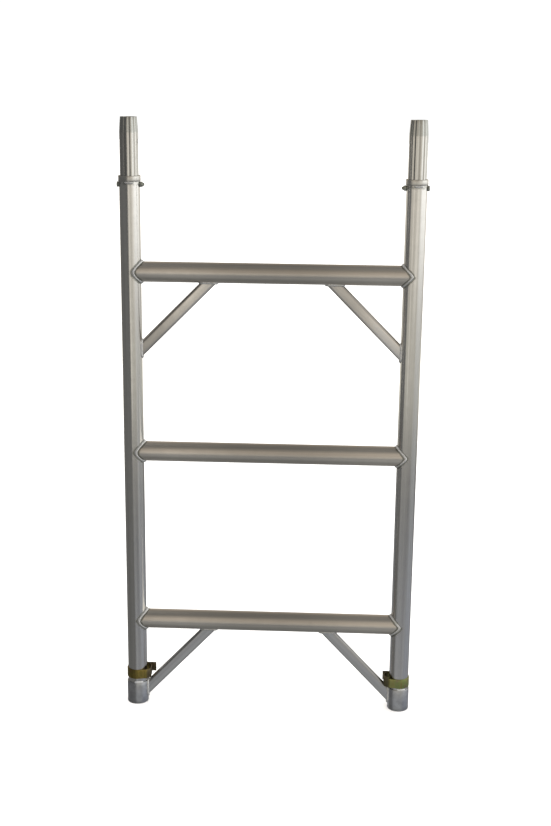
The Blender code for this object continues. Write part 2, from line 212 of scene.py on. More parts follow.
class Wire:
    """A node's output that takes part in Python sums; each operation adds its Math node."""

    def __init__(self, tree, socket):
        self.tree = tree
        self.socket = socket

    def maths(self, operation, *others):
        values = dict(enumerate((self, *others)))
        return self.tree.node("ShaderNodeMath", {"operation": operation}, values)

    def __add__(self, other):
        return self.maths("ADD", other)

    def __sub__(self, other):
        return self.maths("SUBTRACT", other)

    def __rsub__(self, other):
        return self.tree.node("ShaderNodeMath", {"operation": "SUBTRACT"}, {0: other, 1: self})

    def __mul__(self, other):
        return self.maths("MULTIPLY", other)

    def __truediv__(self, other):
        return self.maths("DIVIDE", other)

    def __pow__(self, other):
        return self.maths("POWER", other)

    def __abs__(self):
        return self.maths("ABSOLUTE")

    def within(self, other):
        return self.maths("MINIMUM", other)

    def fade(self, start, end):
        """0 at start and 1 at end, smooth between; start may be the larger."""
        settings = {"interpolation_type": "SMOOTHSTEP"}
        inputs = {"Value": self, "From Min": start, "From Max": end}
        return self.tree.node("ShaderNodeMapRange", settings, inputs)

    __radd__ = __add__
    __rmul__ = __mul__


class Tree:
    """A node tree and the one method that adds nodes to it."""

    def __init__(self, tree):
        self.tree = tree

    def node(self, kind, settings=None, inputs=None, output=0):
        """Add a node: its settings first, then its sockets' values or links. Returns an output."""
        node = self.tree.nodes.new(kind)
        for name, value in (settings or {}).items():
            if name == "stops":
                self.fill_ramp(node.color_ramp, value)
            else:
                setattr(node, name, value)
        for name, value in (inputs or {}).items():
            socket = self.socket(node.inputs, name)
            if isinstance(value, Wire):
                self.tree.links.new(value.socket, socket)
            else:
                socket.default_value = value
        return Wire(self, self.socket(node.outputs, output)) if node.outputs else None

    @staticmethod
    def socket(sockets, name):
        if isinstance(name, int):
            return sockets[name]
        return next((s for s in sockets if s.identifier == name), None) or sockets[name]

    @staticmethod
    def fill_ramp(ramp, stops):
        while len(ramp.elements) < len(stops):
            ramp.elements.new(1.0)
        for element, (position, colour) in zip(ramp.elements, stops):
            element.position = position
            element.color = (*colour, 1.0)

    def mix(self, factor, a, b):
        """Between two colours, each a wire or three numbers."""
        a, b = (colour if isinstance(colour, Wire) else (*colour, 1.0) for colour in (a, b))
        inputs = {"Factor_Float": factor, "A_Color": a, "B_Color": b}
        return self.node("ShaderNodeMix", {"data_type": "RGBA"}, inputs, "Result_Color")

    def noise(self, point, scale, detail=2.0, roughness=0.5, seed=0.0):
        inputs = {"Vector": point, "W": seed, "Scale": scale, "Detail": detail,
                  "Roughness": roughness}
        return self.node("ShaderNodeTexNoise", {"noise_dimensions": "4D"}, inputs, "Fac")

    def stretched(self, point, scale, turn=(0.0, 0.0, 0.0)):
        """The point turned about the origin, then scaled along each axis."""
        turned = self.node("ShaderNodeMapping", {}, {"Vector": point, "Rotation": turn})
        return self.node("ShaderNodeMapping", {}, {"Vector": turned, "Scale": scale})

    def axes(self, point):
        """The point's X, Y and Z."""
        first = self.node("ShaderNodeSeparateXYZ", {}, {"Vector": point})
        return [Wire(self, socket) for socket in first.socket.node.outputs]


class Finish(Tree):
    """A material's node tree with a Principled shader."""

    def __init__(self, name):
        self.material = bpy.data.materials.new(name)
        self.material.use_nodes = True
        super().__init__(self.material.node_tree)
        self.shader = self.tree.nodes["Principled BSDF"]
        self.point = self.node("ShaderNodeTexCoord", {}, {}, "Object")

    def set(self, **values):
        """Set the shader's sockets; an underscore stands for a space."""
        for name, value in values.items():
            socket = self.shader.inputs[name.replace("_", " ")]
            if isinstance(value, Wire):
                self.tree.links.new(value.socket, socket)
            else:
                socket.default_value = value

    def bump(self, height, distance, strength):
        inputs = {"Strength": strength, "Distance": distance, "Height": height}
        return self.node("ShaderNodeBump", {}, inputs)

    def metal(self, base, rough, height, depth, strength=0.4, metallic=1.0):
        """Bare metal with a fine relief; returns the finished material."""
        self.set(Base_Color=base, Metallic=metallic, Roughness=rough,
                 Normal=self.bump(height, depth, strength))
        return self.material


# Metals

def shade(colour, amount):
    return tuple(channel * amount for channel in colour)


def smut(finish, outward):
    """The dark film along a rung's weld, on the upright (outward is 1) or on the rung (-1).

    On both tubes the joint's seam runs where the distance inward equals the distance up or down.
    """
    x, _, z = finish.axes(finish.point)
    heights = [abs(z - height) for height in RUNG_HEIGHTS.values()]
    nearest = heights[0].within(heights[1]).within(heights[2])
    right = x.fade(-0.01, 0.01)
    blunt = COPE_BLUNT["left"] * (1 - right) + COPE_BLUNT["right"] * right
    nearest = (nearest ** 2 + blunt ** 2) ** 0.5
    distance = (nearest - (UPRIGHT_X - abs(x))) * (0.707 * outward)
    patches = finish.noise(finish.point, 110.0, 3.0, 0.6, 5.0)
    reach = 0.003 + 0.008 * patches
    return (reach - distance).fade(0.0, 0.003) * distance.fade(0.0, 0.002)


def collar_stain(finish):
    """Patches of smut on the upright under its collar's weld."""
    z = finish.axes(finish.point)[2]
    patches = finish.noise(finish.point, 130.0, 3.0, 0.6, 6.0)
    return z.fade(COLLAR_FOOT - 0.012, COLLAR_FOOT - 0.003) * patches.fade(0.42, 0.58)


def drawn_metal(name, colour, lines, turn=(0.0, 0.0, 0.0), roughness=0.2, outward=0, painted_sheen=None,
                edge=None):
    """Extruded tube: fine draw lines and broad streaks along it, faint mottling and smut.

    Painted sheen gives two distances from the middle of the frame and how bright the metal is at each:
    painted light along the tube.
    Edge gives a point on a brace's axis and the direction across it, to its upper edge, which is darkened as
    painted shade.
    """
    finish = Finish(name)
    soot = tuple(bpy.context.scene.frame_finishes.soot)
    fine = finish.noise(finish.stretched(finish.point, lines, turn), 1.0, 2.0, 0.6, 1.0)
    broad = finish.noise(finish.stretched(finish.point, shade(lines, 0.22), turn), 1.0, 1.0, 0.5, 2.0)
    mottling = finish.noise(finish.point, 38.0, 4.0, 0.6, 3.0)
    base = finish.mix(broad.fade(0.25, 0.75), shade(colour, 0.90), shade(colour, 1.06))
    base = finish.mix(fine.fade(0.55, 0.8) * 0.35, base, shade(colour, 0.72))
    base = finish.mix(mottling.fade(0.35, 0.75) * 0.25, base, shade(colour, 0.82))
    rough = roughness + 0.10 * broad + 0.10 * mottling
    # Painted sheen: the colour is scaled brighter or darker along the tube, standing in for reflected light.
    if painted_sheen:
        start, end, dull, bright = painted_sheen
        x = finish.axes(finish.point)[0]
        share = abs(x).fade(start, end)
        level = dull * (1 - share) + bright * share
        grey = finish.node("ShaderNodeCombineXYZ", {}, {"X": level, "Y": level, "Z": level})
        base = finish.node("ShaderNodeVectorMath", {"operation": "MULTIPLY"}, {0: base, 1: grey})
    # Painted shade: a brace's upper edge is darkened.
    if edge:
        start, across = edge
        x, _, z = finish.axes(finish.point)
        rise = (x - start.x) * across.x + (z - start.z) * across.z
        base = finish.mix(rise.fade(0.0065, 0.0110) * 0.7, base, shade(colour, 0.42))
    if outward:
        mask = smut(finish, outward)
        if outward > 0:
            mask = mask.maths("MAXIMUM", collar_stain(finish) * 0.7)
        base = finish.mix(mask * 0.8, base, soot)
        rough = rough + mask * 0.2
    return finish.metal(base, rough, fine * 0.5 + broad, 0.00035, 0.35)


def upright_metal():
    colour = tuple(bpy.context.scene.frame_finishes.upright)
    return drawn_metal("upright_aluminium", colour, (650.0, 650.0, 5.0), roughness=0.10, outward=1)


def rung_metal():
    colour = tuple(bpy.context.scene.frame_finishes.rung)
    # Painted sheen: the rung is darker in its middle and brighter towards its ends, standing in for reflected
    # light.
    return drawn_metal("rung_aluminium", colour, (5.0, 650.0, 650.0), roughness=0.24, outward=-1,
                       painted_sheen=(0.05, 0.30, 0.90, 1.14))


def brace_metal(level, side):
    # The brace's line and the direction across it place the painted shade on its upper edge.
    foot, head = brace_line(level, side)
    slope = math.atan2(head.z - foot.z, head.x - foot.x)
    across = Vector((-math.sin(slope), 0, math.cos(slope)))
    if across.z < 0:
        across = -across
    finishes = bpy.context.scene.frame_finishes
    colour = tuple(finishes.brace if level == "upper" else finishes.shaded_low_brace)
    # Painted sheen: each upper brace is brighter towards one end, standing in for reflected light.
    painted_sheen = {"upper_left": (0.19, 0.30, 1.12, 0.76), "upper_right": (0.19, 0.30, 0.92, 1.34)}
    name = f"{level}_{side}"
    return drawn_metal(name + "_brace_aluminium", colour, (6.0, 650.0, 650.0), (0.0, slope, 0.0),
                       0.22, painted_sheen=painted_sheen.get(name), edge=(foot, across))


def spigot_metal(side):
    """Bright fluted extrusion, with a duller turned tip, patches of grime, and painted shade along one wall
    of each flute and round the cross hole.
    """
    finish = Finish(side + "_spigot_aluminium")
    colour = tuple(bpy.context.scene.frame_finishes.spigot)
    x, y, z = finish.axes(finish.point)
    tip = z.fade(SPIGOT_TOP - 0.040, SPIGOT_TOP - 0.034)
    around = y.maths("ARCTAN2", x - SIDES[side] * UPRIGHT_X) - (SPIGOT_TURN[side] + math.radians(4))
    flutes = around * float(bpy.context.scene.frame_spigots.flutes)
    # Painted shade along one wall of each flute.
    flute_shade = (0.5 - 0.5 * flutes.maths("COSINE")) ** 2
    lines = finish.noise(finish.stretched(finish.point, (700.0, 700.0, 6.0)), 1.0, 2.0, 0.6, 7.0)
    rings = finish.noise(finish.stretched(finish.point, (12.0, 12.0, 1400.0)), 1.0, 2.0, 0.6, 8.0)
    grime = finish.noise(finish.point, 60.0, 4.0, 0.6, 9.0)
    base = finish.mix(lines.fade(0.3, 0.75), shade(colour, 0.88), shade(colour, 1.05))
    base = finish.mix(flute_shade * 0.6, base, shade(colour, 0.42))
    base = finish.mix(tip * 0.6, base, (0.50, 0.53, 0.52))
    base = finish.mix(grime.fade(0.5, 0.8) * 0.3, base, shade(colour, 0.6))
    # Painted shade: a near-black patch round the cross hole stands in for the dark inside of the hole.
    from_hole = (y ** 2 + (z - (UPRIGHT_TOP + CROSS_HOLE_RISE)) ** 2) ** 0.5
    base = finish.mix(from_hole.fade(0.0072, 0.0058) * 0.9, base, (0.05, 0.05, 0.045))
    rough = 0.11 + 0.07 * lines + 0.10 * tip + 0.08 * grime
    height = lines * (1 - tip) + rings * tip
    return finish.metal(base, rough, height, 0.0003, 0.35)


def ring_metal(name, colour, low, high, scuff):
    """Dull ring welded round a tube: mottled, with a scuffed and stained lower edge."""
    finish = Finish(name)
    z = finish.axes(finish.point)[2]
    patches = finish.noise(finish.point, 70.0, 4.0, 0.65, 11.0)
    specks = finish.noise(finish.point, 420.0, 2.0, 0.6, 12.0)
    edge = z.fade(low + scuff, low) * patches.fade(0.35, 0.6)
    top = z.fade(high - scuff * 0.5, high) * patches.fade(0.4, 0.7)
    base = finish.mix(patches.fade(0.3, 0.7), shade(colour, 0.82), shade(colour, 1.06))
    base = finish.mix(edge * 0.8, base, shade(colour, 0.42))
    base = finish.mix(top * 0.4, base, shade(colour, 0.55))
    base = finish.mix(specks.fade(0.62, 0.75) * 0.5, base, shade(colour, 0.5))
    rough = 0.24 + 0.14 * patches + 0.15 * edge
    return finish.metal(base, rough, patches + specks * 0.2, 0.0006)


def bead_metal(name, metallic):
    """Weld metal, darker in the dips between ripples and stained in places."""
    finish = Finish(name)
    colour = tuple(bpy.context.scene.frame_finishes.bead)
    ripple = finish.node("ShaderNodeAttribute", {"attribute_name": "ripple"}, {}, "Fac")
    stain = finish.noise(finish.point, 120.0, 3.0, 0.6, 13.0)
    grit = finish.noise(finish.point, 900.0, 2.0, 0.6, 14.0)
    base = finish.mix(ripple.fade(0.55, 0.05) * 0.75, colour, (0.40, 0.41, 0.38))
    base = finish.mix(stain.fade(0.5, 0.72) * 0.6, base, (0.50, 0.52, 0.44))
    rough = 0.15 + 0.18 * stain + 0.10 * grit
    return finish.metal(base, rough, grit, 0.0002, metallic=metallic)


def steel_metal():
    """Plated steel gone dull, with pale wear and a greenish cast."""
    finish = Finish("plated_steel")
    colour = tuple(bpy.context.scene.frame_finishes.steel)
    patches = finish.noise(finish.point, 260.0, 3.0, 0.6, 15.0)
    specks = finish.noise(finish.point, 1500.0, 2.0, 0.6, 16.0)
    base = finish.mix(patches.fade(0.35, 0.7), shade(colour, 0.55), shade(colour, 1.25))
    base = finish.mix(specks.fade(0.6, 0.75) * 0.6, base, (0.52, 0.55, 0.50))
    return finish.metal(base, 0.34 + 0.2 * patches, specks, 0.0001, 0.5)


def zinc_metal(name, colours, side):
    """Yellow chromate over zinc: cloudy bars round the strip, and the clip's inner end darkened to brown as
    painted shade.
    """
    finish = Finish(name)
    x = finish.axes(finish.point)[0]
    bars = finish.noise(finish.stretched(finish.point, (150.0, 150.0, 12.0)), 1.0, 1.0, 0.5, 17.0)
    clouds = finish.noise(finish.stretched(finish.point, (40.0, 40.0, 60.0)), 1.0, 2.0, 0.5, 18.0)
    tint = bars * 0.6 + clouds * 0.4
    stops = list(zip((0.34, 0.45, 0.54, 0.64), colours))
    colour = finish.node("ShaderNodeValToRGB", {"stops": stops}, {"Fac": tint}, "Color")
    wear = finish.noise(finish.point, 500.0, 2.0, 0.6, 19.0)
    base = finish.mix(wear.fade(0.6, 0.8) * 0.5, colour, (0.45, 0.40, 0.26))
    # Painted shade: the parts of the clip standing out past the tube on its inner side are darkened to brown.
    inner = (UPRIGHT_X - x * SIDES[side]).fade(0.023, 0.031)
    base = finish.mix(inner * 0.85, base, (0.17, 0.14, 0.10))
    return finish.metal(base, 0.24 + 0.25 * bars, wear + clouds, 0.0002)


# Meshes

def shell(rings, hollow=False):
    """Faces through rings of points; a hollow shell joins its last ring to its first."""
    builder = bmesh.new()
    loops = [[builder.verts.new(point) for point in ring] for ring in rings]
    following = loops[1:] + loops[:1] if hollow else loops[1:]
    for lower, upper in zip(loops, following):
        for i in range(len(lower)):
            after = (i + 1) % len(lower)
            builder.faces.new((lower[i], lower[after], upper[after], upper[i]))
    if not hollow:
        builder.faces.new(reversed(loops[0]))
        builder.faces.new(loops[-1])
    bmesh.ops.recalc_face_normals(builder, faces=builder.faces)
    mesh = bpy.data.meshes.new("shell")
    builder.to_mesh(mesh)
    builder.free()
    return mesh


def new_object(name, mesh, material=None):
    piece = bpy.data.objects.new(name, mesh)
    bpy.context.scene.collection.objects.link(piece)
    if material:
        mesh.materials.append(material)
    return piece


def settle(piece, sharp_above=35):
    """Turn the piece's modifiers into plain mesh, smooth except at sharp edges."""
    bpy.context.view_layer.update()
    evaluated = piece.evaluated_get(bpy.context.evaluated_depsgraph_get())
    mesh = bpy.data.meshes.new_from_object(evaluated)
    piece.modifiers.clear()
    piece.data = mesh
    mesh.name = piece.name
    mesh.shade_smooth()
    mesh.set_sharp_from_angle(angle=math.radians(sharp_above))
    return piece


def round_edges(piece, width, segments=3, angle=50):
    bevel = piece.modifiers.new("round_edges", "BEVEL")
    bevel.width = width
    bevel.segments = segments
    bevel.limit_method = "ANGLE"
    bevel.angle_limit = math.radians(angle)


def cut(piece, *cutters):
    """Take the cutters out of the piece, then remove them."""
    for cutter in cutters:
        difference = piece.modifiers.new("cut", "BOOLEAN")
        difference.operation = "DIFFERENCE"
        difference.solver = "EXACT"
        difference.object = cutter
    settle(piece)
    for cutter in cutters:
        bpy.data.objects.remove(cutter)


def mount(piece, body, slot, *nodes):
    """Let the finished piece ride on a body in place of CAD nodes."""
    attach(piece, body)
    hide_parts(*nodes)


def circle(radius, count, centre=(0.0, 0.0)):
    turn = 2 * math.pi / count
    return [(centre[0] + radius * math.cos(i * turn), centre[1] + radius * math.sin(i * turn))
            for i in range(count)]


def oval(width, depth, steps=16):
    """Two straight sides joined by half circles, wide along the first axis."""
    radius = depth / 2
    offset = width / 2 - radius
    points = []
    for end in (0, 1):
        for step in range(steps + 1):
            angle = -math.pi / 2 + math.pi * (end + step / steps)
            centre = -offset if end else offset
            points.append((centre + radius * math.cos(angle), radius * math.sin(angle)))
    return points


def hexagon(across_flats, count, cone=None):
    """A hexagon's outline, cut back to the cone's radius where that is smaller."""
    points = []
    for i in range(count):
        angle = 2 * math.pi * i / count
        from_flat = (angle + math.pi / 6) % (math.pi / 3) - math.pi / 6
        radius = across_flats / 2 / math.cos(from_flat)
        if cone:
            radius = min(radius, cone)
        points.append((radius * math.cos(angle), radius * math.sin(angle)))
    return points


def along(direction, side_axis=(0, 1, 0)):
    """The turn that lays local Z along a direction and keeps local Y near the side axis."""
    z_axis = Vector(direction).normalized()
    x_axis = Vector(side_axis).cross(z_axis).normalized()
    y_axis = z_axis.cross(x_axis)
    return Matrix((x_axis, y_axis, z_axis)).transposed().to_4x4()


def placed(stations, place):
    """Rings of points in place, from outlines each with its height along local Z."""
    return [[place @ Vector((x, y, height)) for x, y in outline] for outline, height in stations]


def rod(radius, start, direction, length, count=32):
    """A plain round cutter."""
    place = Matrix.Translation(start) @ along(direction)
    outline = circle(radius, count)
    return new_object("cutter", shell(placed([(outline, 0), (outline, length)], place)))


def inward(side):
    return Vector((-SIDES[side], 0, 0))


def upright_axis(side, height=0.0):
    return Vector((SIDES[side] * UPRIGHT_X, 0, height))


def from_axis(radius, y):
    """How far along the inward axis a circle of that radius reaches at depth y."""
    return math.sqrt(max(radius * radius - y * y, 0.0))


# Tubes

def make_upright(side, material):
    sizes = bpy.context.scene.frame_tubes
    place = Matrix.Translation(upright_axis(side))
    outer = circle(TUBE_RADIUS, sizes.sides)
    inner = circle(TUBE_RADIUS - sizes.wall, sizes.sides)
    around_hole = 0.012
    levels = [0, PEG_HEIGHT - around_hole, PEG_HEIGHT + around_hole, UPRIGHT_TOP]
    stations = [(outer, z) for z in levels] + [(inner, z) for z in reversed(levels)]
    piece = new_object(side + "_upright_tube", shell(placed(stations, place), True), material)
    hole = bpy.context.scene.frame_spigots.cross_hole / 2
    cut(piece, rod(hole, upright_axis(side, PEG_HEIGHT), inward(side), 2 * TUBE_RADIUS))
    mount(piece, "frame", "upright_tube", side + "_upright")


def make_rung(name, material):
    """A tube whose ends fit round the uprights."""
    sizes = bpy.context.scene.frame_tubes
    height = RUNG_HEIGHTS[name]

    def ring(radius, share):
        points = []
        for y, z in circle(radius, sizes.sides):
            blunt = COPE_BLUNT["right" if share > 0 else "left"]
            end = UPRIGHT_X - math.hypot(from_axis(TUBE_RADIUS + FIT_GAP, y), blunt)
            points.append(Vector((share * end, y, height + z)))
        return points

    shares = (-1, -0.9, 0, 0.9, 1)
    inner = TUBE_RADIUS - sizes.wall
    rings = [ring(TUBE_RADIUS, s) for s in shares] + [ring(inner, s) for s in reversed(shares)]
    piece = new_object(name + "_tube", shell(rings, True), material)
    settle(piece)
    mount(piece, "frame", "rung_tube", name)


def brace_line(level, side):
    """A brace's foot on the upright's axis and its head on the rung's axis."""
    rung = RUNG_HEIGHTS["top_rung" if level == "upper" else "bottom_rung"]
    foot = upright_axis(side, rung - BRACE_DROP[level])
    head = upright_axis(side, rung) + inward(side) * BRACE_REACH[level]
    return foot, head


def brace_ring(level, side, outline, share, gap=FIT_GAP):
    """The brace's outline carried along it; its ends are cut to the tubes that they meet."""
    foot, head = brace_line(level, side)
    direction = (head - foot).normalized()
    turn = along(direction)
    foot_radius = (TUBE_RADIUS if level == "upper" else SLEEVE_RADIUS) + gap
    points = []
    for u, v in outline:
        corner = foot + turn @ Vector((u, v, 0))
        start_x = upright_axis(side).x + inward(side).x * from_axis(foot_radius, v)
        start = (start_x - corner.x) / direction.x
        end = (head.z - from_axis(TUBE_RADIUS + gap, v) - corner.z) / direction.z
        points.append(corner + direction * (start + (end - start) * share))
    return points


def make_brace(level, side, material):
    sizes = bpy.context.scene.frame_tubes
    outer = oval(sizes.brace_width, sizes.brace_depth)
    inner = oval(sizes.brace_width - 2 * sizes.brace_wall, sizes.brace_depth - 2 * sizes.brace_wall)
    shares = (0, 0.1, 0.5, 0.9, 1)
    rings = [brace_ring(level, side, outer, s) for s in shares]
    rings += [brace_ring(level, side, inner, s) for s in reversed(shares)]
    piece = new_object(f"{level}_{side}_brace_tube", shell(rings, True), material)
    settle(piece)
    mount(piece, "frame", "brace_tube", f"{level}_{side}_brace")


def make_ring(name, node, slot, radius, material):
    """A short sleeve round an upright with rounded edges."""
    sizes = bpy.context.scene.frame_tubes
    low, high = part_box(node)
    place = Matrix.Translation(Vector((middle(node).x, 0, low.z)))
    outer = circle(radius, sizes.sides)
    inner = circle(TUBE_RADIUS + FIT_GAP, sizes.sides)
    height = high.z - low.z
    stations = [(outer, 0), (outer, height), (inner, height), (inner, 0)]
    piece = new_object(name, shell(placed(stations, place), True), material)
    round_edges(piece, sizes.edge)
    settle(piece)
    mount(piece, "frame", slot, node)


# Geometry-nodes trees

def open_group(name, sockets):
    """A group with (kind, names) input sockets; returns it, its tree and its inputs by name."""
    group = bpy.data.node_groups.new(name, "GeometryNodeTree")
    for kind, labels in (*sockets, ("Material", ("Material",))):
        for label in labels:
            group.interface.new_socket(label, in_out="INPUT", socket_type="NodeSocket" + kind)
    group.interface.new_socket("Geometry", in_out="OUTPUT", socket_type="NodeSocketGeometry")
    tree = Tree(group)
    first = tree.node("NodeGroupInput")
    return group, tree, {s.name: Wire(tree, s) for s in first.socket.node.outputs if s.name}


def close_group(tree, shape, material):
    """Realize the shape, give it its material and lead it to the group's output."""
    shape = tree.node("GeometryNodeRealizeInstances", {}, {"Geometry": shape})
    shape = tree.node("GeometryNodeSetMaterial", {}, {"Geometry": shape, "Material": material})
    tree.node("NodeGroupOutput", {}, {"Geometry": shape})


# Spigots: a geometry-nodes wall of flutes

def fluted_wall_tree():
    """A fluted tube: its wall runs up the outside, over the rim and down the bore."""
    floats = ("Radius", "Tip Radius", "Bore Radius", "Height", "Taper Height", "Taper Curve",
              "Flute Depth", "Flutes")
    sockets = (("Float", floats), ("Int", ("Sides", "Levels")))
    group, tree, given = open_group("fluted_wall", sockets)
    levels = given["Levels"]
    grid = tree.node("GeometryNodeMeshGrid", {}, {
        "Size X": 1.0, "Size Y": 1.0, "Vertices X": given["Sides"] + 1, "Vertices Y": levels * 2 + 1})
    x, y, _ = tree.axes(tree.node("GeometryNodeInputPosition"))
    angle = (x + 0.5) * (2 * math.pi)
    row = ((y + 0.5) * levels * 2 + 0.5).maths("FLOOR").maths("MODULO", levels * 2)
    inside = row.maths("GREATER_THAN", levels - 0.5)
    step = row * (1 - inside) + (levels * 2 - 1 - row) * inside
    rise = step / (levels - 1) * given["Height"]
    taper_start = given["Height"] - given["Taper Height"]
    share = ((rise - taper_start) / given["Taper Height"]).maths("MAXIMUM", 0.0)
    narrowing = (given["Radius"] - given["Tip Radius"]) * share ** given["Taper Curve"]
    wave = (1 - (angle * given["Flutes"]).maths("COSINE")) * 0.5
    outside = given["Radius"] - narrowing - given["Flute Depth"] * wave ** 2
    bore = given["Bore Radius"] - narrowing
    radius = outside * (1 - inside) + bore * inside
    place = tree.node("ShaderNodeCombineXYZ", {}, {
        "X": radius * angle.maths("COSINE"), "Y": radius * angle.maths("SINE"), "Z": rise})
    wall = tree.node("GeometryNodeSetPosition", {}, {"Geometry": grid, "Position": place})
    wall = tree.node("GeometryNodeMergeByDistance", {}, {"Geometry": wall, "Distance": 1e-6})
    close_group(tree, wall, given["Material"])
    return group


def grow(piece, group, values):
    """Run a geometry-nodes tree on the piece and keep its result as plain mesh."""
    modifier = piece.modifiers.new(group.name, "NODES")
    modifier.node_group = group
    for item in group.interface.items_tree:
        if item.in_out == "INPUT" and item.name in values:
            modifier[item.identifier] = values[item.name]
    return settle(piece)


def recalculate(piece):
    """Turn every face of a closed piece outwards."""
    builder = bmesh.new()
    builder.from_mesh(piece.data)
    bmesh.ops.remove_doubles(builder, verts=builder.verts, dist=1e-6)
    bmesh.ops.recalc_face_normals(builder, faces=builder.faces)
    builder.to_mesh(piece.data)
    builder.free()


def make_spigot(side, group, material):
    sizes = bpy.context.scene.frame_spigots
    piece = new_object(side + "_fluted_spigot", bpy.data.meshes.new("spigot"))
    grow(piece, group, {
        "Radius": TUBE_RADIUS - bpy.context.scene.frame_tubes.wall - FIT_GAP,
        "Tip Radius": sizes.tip / 2, "Bore Radius": sizes.bore / 2,
        "Height": SPIGOT_TOP - SPIGOT_FOOT, "Taper Height": sizes.taper,
        "Taper Curve": sizes.taper_power, "Flute Depth": sizes.flute_depth,
        "Flutes": float(sizes.flutes), "Sides": sizes.flutes * 12, "Levels": 25,
        "Material": material})
    turn = Matrix.Rotation(SPIGOT_TURN[side], 4, "Z")
    piece.data.transform(Matrix.Translation(upright_axis(side, SPIGOT_FOOT)) @ turn)
    recalculate(piece)
    hole = upright_axis(side, UPRIGHT_TOP + CROSS_HOLE_RISE) - inward(side) * 2 * TUBE_RADIUS
    cut(piece, rod(sizes.cross_hole / 2, hole, inward(side), 4 * TUBE_RADIUS))
    round_edges(piece, 0.0004, 2, 60)
    settle(piece)
    mount(piece, "frame", "spigot", side + "_spigot")


# Bolts, nuts and pegs

FASTENER_FACES = 48
NUT_CHAMFER = 0.0006
CROWN_ROUND = 0.0012


def make_bolt(side, material):
    """A hexagon bolt: chamfered head outside, plain shank, and thread where its tip shows."""
    sizes = bpy.context.scene.frame_fasteners
    faces = FASTENER_FACES
    start = TUBE_RADIUS + FIT_GAP + sizes.head
    length = start + TUBE_RADIUS + sizes.standout
    place = Matrix.Translation(upright_axis(side, BOLT_HEIGHT) - inward(side) * start)
    place = place @ along(inward(side))
    face = sizes.flats / 2 * 0.93
    stations = [(circle(face * 0.92, faces), 0.0003), (circle(face, faces), 0)]
    stations += [(hexagon(sizes.flats, faces, face + 1.9 * h), h) for h in (0.0002, 0.0004, 0.0007)]
    stations += [(hexagon(sizes.flats, faces), sizes.head), (circle(sizes.shank / 2, faces), sizes.head)]
    thread_start = start + TUBE_RADIUS + sizes.nut_body
    stations.append((circle(sizes.shank / 2, faces), thread_start))
    steps = int((length - thread_start) / sizes.pitch * 10)
    for step in range(1, steps + 1):
        height = thread_start + (length - thread_start) * step / steps
        point = max(0.0, height - (length - 0.0012)) * 0.8
        outline = []
        for i in range(faces):
            angle = 2 * math.pi * i / faces
            wave = 0.5 + 0.5 * math.cos(2 * math.pi * height / sizes.pitch - angle)
            radius = sizes.shank / 2 - sizes.thread * wave - point
            outline.append((radius * math.cos(angle), radius * math.sin(angle)))
        stations.append((outline, height))
    piece = new_object(side + "_hex_bolt", shell(placed(stations, place)), material)
    settle(piece, 30)
    mount(piece, "frame", "bolt", side + "_spigot_bolt")


def make_nut(side, material):
    """A lock nut: chamfered hexagon and a round crown."""
    sizes = bpy.context.scene.frame_fasteners
    faces = FASTENER_FACES
    place = Matrix.Translation(upright_axis(side, BOLT_HEIGHT) + inward(side) * (TUBE_RADIUS + FIT_GAP))
    place = place @ along(inward(side))
    corner = sizes.flats / 2 / math.cos(math.pi / 6)
    bore = circle(sizes.shank / 2 + FIT_GAP, faces)
    stations = [(hexagon(sizes.flats, faces, corner - NUT_CHAMFER), 0), (hexagon(sizes.flats, faces), 0.0005)]
    for share in (0.0, 0.33, 0.66, 1.0):
        cone = corner - (corner - sizes.crown / 2) * share
        stations.append((hexagon(sizes.flats, faces, cone), sizes.nut_body - NUT_CHAMFER * (1 - share)))
    for turn in (0, 30, 60, 90):
        lean = math.radians(turn)
        radius = sizes.crown / 2 - CROWN_ROUND * (1 - math.cos(lean))
        stations.append((circle(radius, faces), sizes.nut - CROWN_ROUND * (1 - math.sin(lean))))
    stations += [(bore, sizes.nut), (bore, 0)]
    piece = new_object(side + "_lock_nut", shell(placed(stations, place), True), material)
    settle(piece, 30)
    mount(piece, "frame", "bolt", side + "_spigot_nut")


def make_peg(side, material):
    """A shouldered peg with a rounded tip and a low rivet head."""
    count = 40
    wall_inner = BOW_REACH[side] - BAND_THICKNESS - FIT_GAP
    wall_outer = BOW_REACH[side] + FIT_GAP
    tip, shank, shoulder, rivet, head = 0.0025, 0.004, 0.006, 0.0025, 0.0035
    profile = [(0.0012, 0.0190), (tip, 0.0194), (shank - 0.0003, 0.0212), (shank, 0.0217),
               (shank, wall_inner - 0.0030), (shoulder - 0.0003, wall_inner - 0.0030),
               (shoulder, wall_inner - 0.0027), (shoulder, wall_inner - 0.0003),
               (shoulder - 0.0003, wall_inner), (rivet, wall_inner), (rivet, wall_outer),
               (head, wall_outer), (head * 0.97, wall_outer + 0.0004),
               (head * 0.75, wall_outer + 0.0008), (head * 0.4, wall_outer + 0.001)]
    place = Matrix.Translation(upright_axis(side, PEG_HEIGHT)) @ along(inward(side))
    stations = [(circle(radius, count), height) for radius, height in profile]
    piece = new_object(side + "_riveted_peg", shell(placed(stations, place)), material)
    settle(piece, 40)
    mount(piece, side + "_latch", "peg", side + "_locking_peg")


# Spring bands

def rounded(path, radius, steps):
    """The open path with each inner corner replaced by an arc."""
    points = [path[0]]
    for before, corner, after in zip(path, path[1:], path[2:]):
        arrive = (corner - before).normalized()
        leave = (after - corner).normalized()
        turn = arrive.angle(leave)
        run = radius * math.tan(turn / 2)
        centre = corner + (leave - arrive).normalized() * radius / math.cos(turn / 2)
        start = corner - arrive * run - centre
        end = corner + leave * run - centre
        points += [centre + start.lerp(end, step / steps).normalized() * radius
                   for step in range(steps + 1)]
    return points + [path[-1]]


